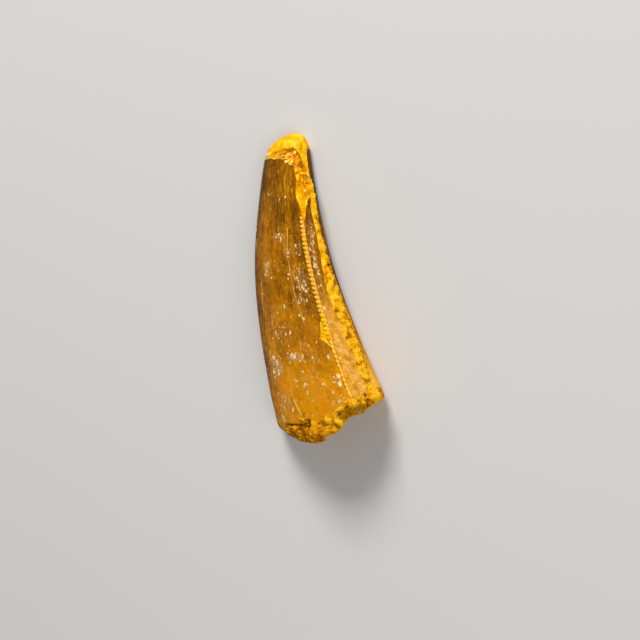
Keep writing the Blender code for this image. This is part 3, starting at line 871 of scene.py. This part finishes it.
def grain_places(surface):
    """The grains' middles, radii, stretches and turns: chance, weighted by where the surface is grainy."""
    dice = np.random.default_rng(GRAIN_SEED)
    spots = surface.points.reshape(-1, 3)
    heart = placed(surface.drop, np.array(TIP_HEART) * surface.size[..., None]).reshape(-1, 3)
    step = np.linalg.norm(np.roll(surface.points, -1, axis=1) - surface.points, axis=-1)
    weight = (surface.grain_share * step * (surface.points[..., 2] > GRAINS_ABOVE)).ravel()
    order = np.cumsum(weight) / weight.sum()
    chosen = np.searchsorted(order, dice.random(GRAIN_COUNT))
    radius = GRAIN_RADIUS + GRAIN_RADIUS_SPREAD * dice.random(GRAIN_COUNT) ** 2.5
    away = spots[chosen] - heart[chosen]
    away = away / np.linalg.norm(away, axis=1, keepdims=True)
    sunk = radius * (0.2 + 0.5 * dice.random(GRAIN_COUNT))
    middle = spots[chosen] - centre_of(surface) - away * sunk[:, None]
    middle[:, 2] = np.maximum(middle[:, 2], radius * 1.2)
    turn = np.linalg.qr(dice.normal(size=(GRAIN_COUNT, 3, 3)))[0]
    stretch = np.stack((np.ones(GRAIN_COUNT), *(0.6 + 0.4 * dice.random((2, GRAIN_COUNT)))), axis=-1)
    return middle, radius, stretch, turn


def sand_grains(surface):
    """Grains that stand out of the stone: squashed little pebbles, sunk to about a third."""
    middle, radius, stretch, turn = grain_places(surface)
    one = pebble()
    mesh = copies_of(one, GRAIN_COUNT, "sand_grains")
    bpy.data.meshes.remove(one)
    balls = np.zeros(len(mesh.vertices) * 3, np.float32)
    mesh.vertices.foreach_get("co", balls)
    balls = balls.reshape(GRAIN_COUNT, -1, 3)
    number = np.arange(GRAIN_COUNT)[:, None, None]
    lumps = balls * (1 + 0.12 * np.sin(7 * balls[..., ::-1] + number))
    lumps = (lumps * stretch[:, None] * radius[:, None, None]) @ turn
    places = lumps + middle[:, None]
    mesh.vertices.foreach_set("co", (places * MM).astype(np.float32).ravel())
    mesh.shade_smooth()
    mesh.update()
    return piece_of("sand_grains", mesh)


# ================================================================ materials
class Nodes:
    """Short ways of adding shader nodes to a material, whose patterns are in millimetres."""

    def __init__(self, name):
        self.material = bpy.data.materials.new(name)
        self.material.use_nodes = True
        self.tree = self.material.node_tree
        self.surface = self.tree.nodes["Principled BSDF"]

    def add(self, kind, **settings):
        made = self.tree.nodes.new(kind)
        for key, value in settings.items():
            setattr(made, key, value)
        return made

    def join(self, source, target):
        self.tree.links.new(source, target)

    def attribute(self, name, output="Fac"):
        return self.add("ShaderNodeAttribute", attribute_name=name).outputs[output]

    def faint(self, name, share):
        """A mask at a share of its strength."""
        return self.math("MULTIPLY", self.attribute(name), share)

    def millimetres(self):
        """Object coordinates in millimetres."""
        place = self.add("ShaderNodeTexCoord").outputs["Object"]
        return self.scaled(place, (1000, 1000, 1000))

    def scaled(self, vector, scale):
        mapping = self.add("ShaderNodeMapping")
        mapping.inputs["Scale"].default_value = scale
        self.join(vector, mapping.inputs["Vector"])
        return mapping.outputs["Vector"]

    def noise(self, vector, scale, detail=3.0, roughness=0.55):
        made = self.add("ShaderNodeTexNoise")
        made.inputs["Scale"].default_value = scale
        made.inputs["Detail"].default_value = detail
        made.inputs["Roughness"].default_value = roughness
        self.join(vector, made.inputs["Vector"])
        return made.outputs["Fac"]

    def cells(self, vector, scale):
        """Distance to the nearest of a scatter of points, and two random numbers of that point."""
        made = self.add("ShaderNodeTexVoronoi", feature="F1")
        made.inputs["Scale"].default_value = scale
        self.join(vector, made.inputs["Vector"])
        parts = self.add("ShaderNodeSeparateColor")
        self.join(made.outputs["Color"], parts.inputs[0])
        return made.outputs["Distance"], parts.outputs[0], parts.outputs[1]

    def math(self, operation, first, second=None, third=None, clamp=False):
        made = self.add("ShaderNodeMath", operation=operation, use_clamp=clamp)
        for socket, value in zip(made.inputs, (first, second, third)):
            if value is None:
                continue
            if isinstance(value, (int, float)):
                socket.default_value = value
            else:
                self.join(value, socket)
        return made.outputs[0]

    def ramp(self, factor, stops):
        """A colour ramp; stops are (position, colour), a colour being RGB or one grey number."""
        made = self.add("ShaderNodeValToRGB")
        elements = made.color_ramp.elements
        while len(elements) < len(stops):
            elements.new(0.5)
        for element, (position, colour) in zip(elements, stops):
            element.position = position
            grey = isinstance(colour, (int, float))
            element.color = (colour, colour, colour, 1) if grey else (*colour, 1)
        self.join(factor, made.inputs["Fac"])
        return made.outputs["Color"]

    def mix(self, factor, first, second):
        made = self.add("ShaderNodeMix", data_type="RGBA")
        self.join(factor, made.inputs["Factor"])
        self.join(first, made.inputs["A"])
        self.join(second, made.inputs["B"])
        return made.outputs["Result"]

    def bump(self, height, distance, normal=None):
        made = self.add("ShaderNodeBump")
        made.inputs["Distance"].default_value = distance * MM
        self.join(height, made.inputs["Height"])
        if normal is not None:
            self.join(normal, made.inputs["Normal"])
        return made.outputs["Normal"]

    def gloss(self, level, tint):
        """Sets how strongly, and in which tint, the surface mirrors light."""
        self.surface.inputs["Specular IOR Level"].default_value = level
        self.surface.inputs["Specular Tint"].default_value = tint


def enamel_colour(nodes, course, spot):
    """Amber-brown enamel, mottled and streaked lengthwise."""
    shade = nodes.attribute("shade")
    for stretch, detail, amount in (
        ((4.5, 4.5, 0.14), 3.0, 0.36),
        ((1.1, 1.1, 0.42), 5.0, 1.0),
        ((8.0, 8.0, 1.0), 2.0, 0.12),
        ((2.4, 2.4, 1.7), 4.0, 0.75),
    ):
        streaks = nodes.noise(nodes.scaled(course, stretch), 1.0, detail, 0.62)
        shade = nodes.math("MULTIPLY_ADD", nodes.math("SUBTRACT", streaks, 0.5), amount, shade)
    shade = nodes.math("MAXIMUM", shade, 0.0, clamp=True)
    orange, olive = nodes.ramp(shade, ORANGE_ENAMEL), nodes.ramp(shade, OLIVE_ENAMEL)
    zone = nodes.noise(nodes.scaled(course, (0.9, 0.9, 0.30)), 1.0, 3.0, 0.6)
    colour = nodes.mix(nodes.ramp(zone, ((0.35, 0.0), (0.65, 1.0))), orange, olive)
    for stretch, low, high in ((2.6, 0.40, 0.52), (4.1, 0.46, 0.56)):
        fine = nodes.noise(nodes.scaled(course, (stretch, stretch, 0.04 * stretch)), 1.0, 2.0, 0.5)
        line = nodes.ramp(fine, ((0.486, 0.0), (0.5, 0.75), (0.514, 0.0)))
        here = nodes.ramp(nodes.noise(spot, 0.15 * stretch), ((low, 0.0), (high, 1.0)))
        colour = nodes.mix(nodes.math("MULTIPLY", line, here), colour, nodes.ramp(fine, STREAK_GOLD))
    return colour


def threads_and_gleam_over(nodes, colour, spot):
    """Fine golden lines that run down the enamel, and a painted gleam along the front edge, broken into
    dashes.
    """
    dashes = nodes.ramp(nodes.noise(spot, 1.2, 2.0), ((0.36, 0.15), (0.52, 1.0)))
    gold = nodes.ramp(nodes.noise(spot, 0.8), THREAD_AND_GLEAM_GOLD)
    for number in range(len(GOLD_THREADS_AND_GLEAM)):
        beside = nodes.math("ABSOLUTE", nodes.attribute(f"thread_{number}"))
        line = nodes.ramp(beside, ((0.04, 0.85), (0.10, 0.0)))
        colour = nodes.mix(nodes.math("MULTIPLY", line, dashes), colour, gold)
    return colour


def flecks_and_glints_over(nodes, colour, spot):
    """Pale flecks on the enamel, lime and painted glints, each a dab of its own size and strength, in a thin
    film.

    Returns the colour and how much lime and glint there is.
    """
    warp = nodes.math("SUBTRACT", nodes.noise(spot, 4.5, 3.0, 0.7), 0.5)
    density = nodes.attribute("flecks")
    film = nodes.noise(nodes.scaled(spot, (1.0, 0.5, 1.0)), 1.6, 5.0, 0.75)
    film = nodes.ramp(nodes.math("MULTIPLY_ADD", density, 0.34, film), ((0.58, 0.0), (0.80, 0.65)))
    colour = nodes.mix(film, colour, nodes.ramp(warp, LIME_FILM))
    dabs = None
    for scale, size, share in ((1.3, 0.24, 0.5), (2.1, 0.34, 0.9), (3.3, 0.36, 1.2)):
        distance, first, second = nodes.cells(nodes.scaled(spot, (1.0, 0.6, 1.0)), scale)
        chosen = nodes.math("LESS_THAN", first, nodes.math("MULTIPLY", density, share))
        reach = nodes.math("MULTIPLY_ADD", nodes.math("POWER", second, 2.0), size, 0.13)
        dab = nodes.math("SUBTRACT", reach, nodes.math("MULTIPLY_ADD", warp, 0.9, distance))
        dab = nodes.ramp(dab, ((0.0, 0.0), (0.06, 1.0)))
        strength = nodes.math("MULTIPLY_ADD", second, 0.35, 0.65)
        dab = nodes.math("MULTIPLY", nodes.math("MULTIPLY", dab, strength), chosen)
        dabs = dab if dabs is None else nodes.math("MAXIMUM", dabs, dab)
    crumble = nodes.noise(nodes.scaled(spot, (1.0, 0.6, 1.0)), 2.3, 6.0, 0.8)
    crumble = nodes.ramp(nodes.math("MULTIPLY_ADD", density, 0.16, crumble), ((0.635, 0.0), (0.665, 1.0)))
    dabs = nodes.math("MAXIMUM", dabs, crumble)
    flake = nodes.math("MULTIPLY_ADD", warp, 0.8, nodes.attribute("flake"))
    dabs = nodes.math("MAXIMUM", dabs, nodes.ramp(flake, ((0.35, 0.0), (0.65, 1.0))))
    pale = nodes.ramp(nodes.noise(spot, 1.3, 3.0, 0.6), LIME_FLECKS_AND_GLINTS)
    return nodes.mix(dabs, colour, pale), nodes.math("MAXIMUM", film, dabs)


def dentine_colour(nodes, spot):
    """Bright orange-yellow dentine, finely granular."""
    cloud = nodes.noise(spot, 1.1, 3.0, 0.6)
    grit = nodes.noise(spot, 4.0, 4.0, 0.75)
    tone = nodes.math("MULTIPLY_ADD", nodes.math("SUBTRACT", grit, 0.5), 0.8, cloud)
    broad = nodes.math("SUBTRACT", nodes.noise(spot, 0.42, 2.0), 0.5)
    tone = nodes.math("MULTIPLY_ADD", broad, 0.7, tone)
    tone = nodes.math("MULTIPLY_ADD", nodes.attribute("amber"), -0.035, tone)
    return nodes.ramp(tone, DENTINE)


def stone_colour(nodes, spot):
    """Ochre sandstone: bright yellow grains, orange patches, painted shade in the pits between the lumps and
    painted light on their tops.
    """
    cloud = nodes.noise(spot, 0.8, 6.0, 0.7)
    # Painted shade in the pits, and painted light on the tops of chunks and nubs.
    tone = nodes.math("MULTIPLY_ADD", nodes.attribute("pit"), -0.17, cloud)
    tone = nodes.math("ADD", tone, 0.015)
    tone = nodes.math("MULTIPLY_ADD", nodes.attribute("chunk"), 0.06, tone)
    yellow, amber = nodes.ramp(tone, YELLOW_STONE), nodes.ramp(tone, AMBER_STONE)
    return nodes.mix(nodes.attribute("amber"), yellow, amber)


def sharpened(nodes, mask, grit):
    """A mask with its edge made crisp and ragged."""
    value = nodes.math("MULTIPLY_ADD", grit, 0.4, mask)
    return nodes.ramp(value, ((0.60, 0.0), (0.80, 1.0)))


def stains_and_painted_shade_over(nodes, colour, grit):
    """Stains and crusts, and painted shade under the worn rim and in creases, each where its own mask is, and
    mottled by the grit.
    """
    knob = nodes.ramp(nodes.attribute("knob"), ((0.1, 0.0), (0.5, 0.8)))
    crumb = nodes.ramp(nodes.attribute("crumb"), ((0.15, 0.0), (0.5, 1.0)))
    for mask, finish in (
        # painted shade under the worn rim
        (nodes.faint("underside", 0.8), OLIVE_PAINTED_SHADE),
        (nodes.faint("lime", 0.9), LIME_CRUST),
        (knob, HONEY_STONE),
        (crumb, CREAM_CRUMBS),
        (nodes.attribute("gap"), BROWN_GAPS),
        (nodes.attribute("crease_shade"), RUSSET_CREASE_SHADE),
        (nodes.faint("crack", 0.9), RUST_CRACKS),
    ):
        colour = nodes.mix(mask, colour, nodes.ramp(grit, finish))
    return colour


def fossil_material():
    """Enamel, dentine and cemented stone, told apart by the masks on the mesh."""
    nodes = Nodes("fossil")
    spot, course = nodes.millimetres(), nodes.attribute("course", "Vector")
    grit = nodes.noise(spot, 4.0, 3.0, 0.6)
    bare = sharpened(nodes, nodes.attribute("bare"), grit)
    stone = sharpened(nodes, nodes.attribute("stone"), grit)
    ridge = nodes.ramp(nodes.attribute("ridge"), ((0.15, 0.0), (0.7, 0.88)))
    tan_cloud = nodes.noise(spot, 0.9, 5.0, 0.65)

    colour = enamel_colour(nodes, course, spot)
    colour = nodes.mix(nodes.faint("tan", 0.85), colour, nodes.ramp(tan_cloud, TAN_GLAZE))
    colour = threads_and_gleam_over(nodes, colour, spot)
    # the flecks are lime and painted glints
    colour, lime = flecks_and_glints_over(nodes, colour, spot)
    # worn ridges, and painted light on the inner side's lower band
    colour = nodes.mix(ridge, colour, nodes.ramp(grit, WORN_RIDGE_AND_PAINTED_LIGHT))
    colour = nodes.mix(bare, colour, dentine_colour(nodes, spot))
    colour = nodes.mix(stone, colour, stone_colour(nodes, spot))
    nodes.join(stains_and_painted_shade_over(nodes, colour, grit), nodes.surface.inputs["Base Color"])

    rough_parts = nodes.math("MAXIMUM", bare, stone)
    polish = nodes.noise(nodes.scaled(course, (7.0, 7.0, 0.5)), 1.0, 3.0, 0.6)
    enamel_roughness = nodes.math("MULTIPLY_ADD", polish, 0.35, 0.12)
    rougher = nodes.math("MAXIMUM", rough_parts, nodes.math("MULTIPLY", lime, 0.7))
    rougher = nodes.math("MAXIMUM", rougher, nodes.attribute("matt"))
    roughness = nodes.math("MULTIPLY_ADD", rougher, 0.45, enamel_roughness, clamp=True)
    nodes.join(roughness, nodes.surface.inputs["Roughness"])
    nodes.gloss(*FOSSIL_GLOSS)

    streaks = nodes.noise(nodes.scaled(course, (16.0, 16.0, 0.8)), 1.0, 3.0, 0.6)
    pits = nodes.math("MULTIPLY", nodes.noise(spot, 5.0, 4.0, 0.65), rough_parts)
    normal = nodes.bump(streaks, 0.02)
    normal = nodes.bump(pits, 0.10, normal)
    normal = nodes.bump(lime, 0.02, normal)
    nodes.join(normal, nodes.surface.inputs["Normal"])
    return nodes.material


def sand_material():
    """Bright ochre sand grains."""
    nodes = Nodes("sand")
    spot = nodes.millimetres()
    nodes.join(nodes.ramp(nodes.noise(spot, 1.7, 3.0, 0.6), SAND), nodes.surface.inputs["Base Color"])
    roughness = nodes.ramp(nodes.noise(spot, 6.0), ((0.3, 0.45), (0.7, 0.8)))
    nodes.join(roughness, nodes.surface.inputs["Roughness"])
    nodes.join(nodes.bump(nodes.noise(spot, 9.0, 4.0), 0.04), nodes.surface.inputs["Normal"])
    nodes.gloss(*SAND_GLOSS)
    return nodes.material


# ================================================================ stage
def floor():
    """Plain pale paper under the tooth."""
    shape = bmesh.new()
    bmesh.ops.create_grid(shape, x_segments=1, y_segments=1, size=FLOOR_HALF_SIZE)
    mesh = bpy.data.meshes.new("floor")
    shape.to_mesh(mesh)
    shape.free()
    nodes = Nodes("pale_paper")
    nodes.surface.inputs["Base Color"].default_value = PALE_PAPER
    nodes.surface.inputs["Roughness"].default_value = 0.9
    mesh.materials.append(nodes.material)
    piece_of("floor", mesh)


def area_light(name, place, size, power, colour):
    """A square soft light that looks at the tooth."""
    data = bpy.data.lights.new(name, "AREA")
    data.size = size
    data.energy = power
    data.color = colour
    lamp = bpy.data.objects.new(name, data)
    lamp.location = place
    lamp.rotation_euler = (Vector((0, 0, 0)) - Vector(place)).to_track_quat("-Z", "Y").to_euler()
    bpy.context.scene.collection.objects.link(lamp)


def lights():
    """Two soft lamps and an even white sky."""
    for lamp in LAMPS:
        area_light(*lamp)
    world = bpy.data.worlds.new("studio")
    bpy.context.scene.world = world
    world.use_nodes = True
    sky = world.node_tree.nodes["Background"].inputs
    sky["Color"].default_value = (1.0, 1.0, 1.0, 1)
    sky["Strength"].default_value = SKY_STRENGTH


def camera():
    """Looks down on the tooth, tilted towards its back ridge, with the tip upwards in the view."""
    data = bpy.data.cameras.new("camera")
    data.lens = LENS
    data.clip_start = 0.01
    seat = bpy.data.objects.new("camera", data)
    back = Vector((math.sin(VIEW_TILT), 0, math.cos(VIEW_TILT)))
    right = Vector((math.cos(VIEW_TILT), 0, -math.sin(VIEW_TILT)))
    turn = Matrix((right, Vector((0, 1, 0)), back)).transposed().to_4x4()
    seat.matrix_world = Matrix.Translation(VIEW_TARGET + VIEW_DISTANCE * back) @ turn
    bpy.context.scene.collection.objects.link(seat)
    bpy.context.scene.camera = seat


def main():
    bpy.context.scene.view_settings.view_transform = "Standard"
    tooth, surface = crown()
    grains = sand_grains(surface)
    for piece, material in ((tooth, fossil_material()), (grains, sand_material())):
        piece.data.materials.append(material)
        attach(piece, "root")
        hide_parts("tooth")
    floor()
    lights()
    camera()


main()
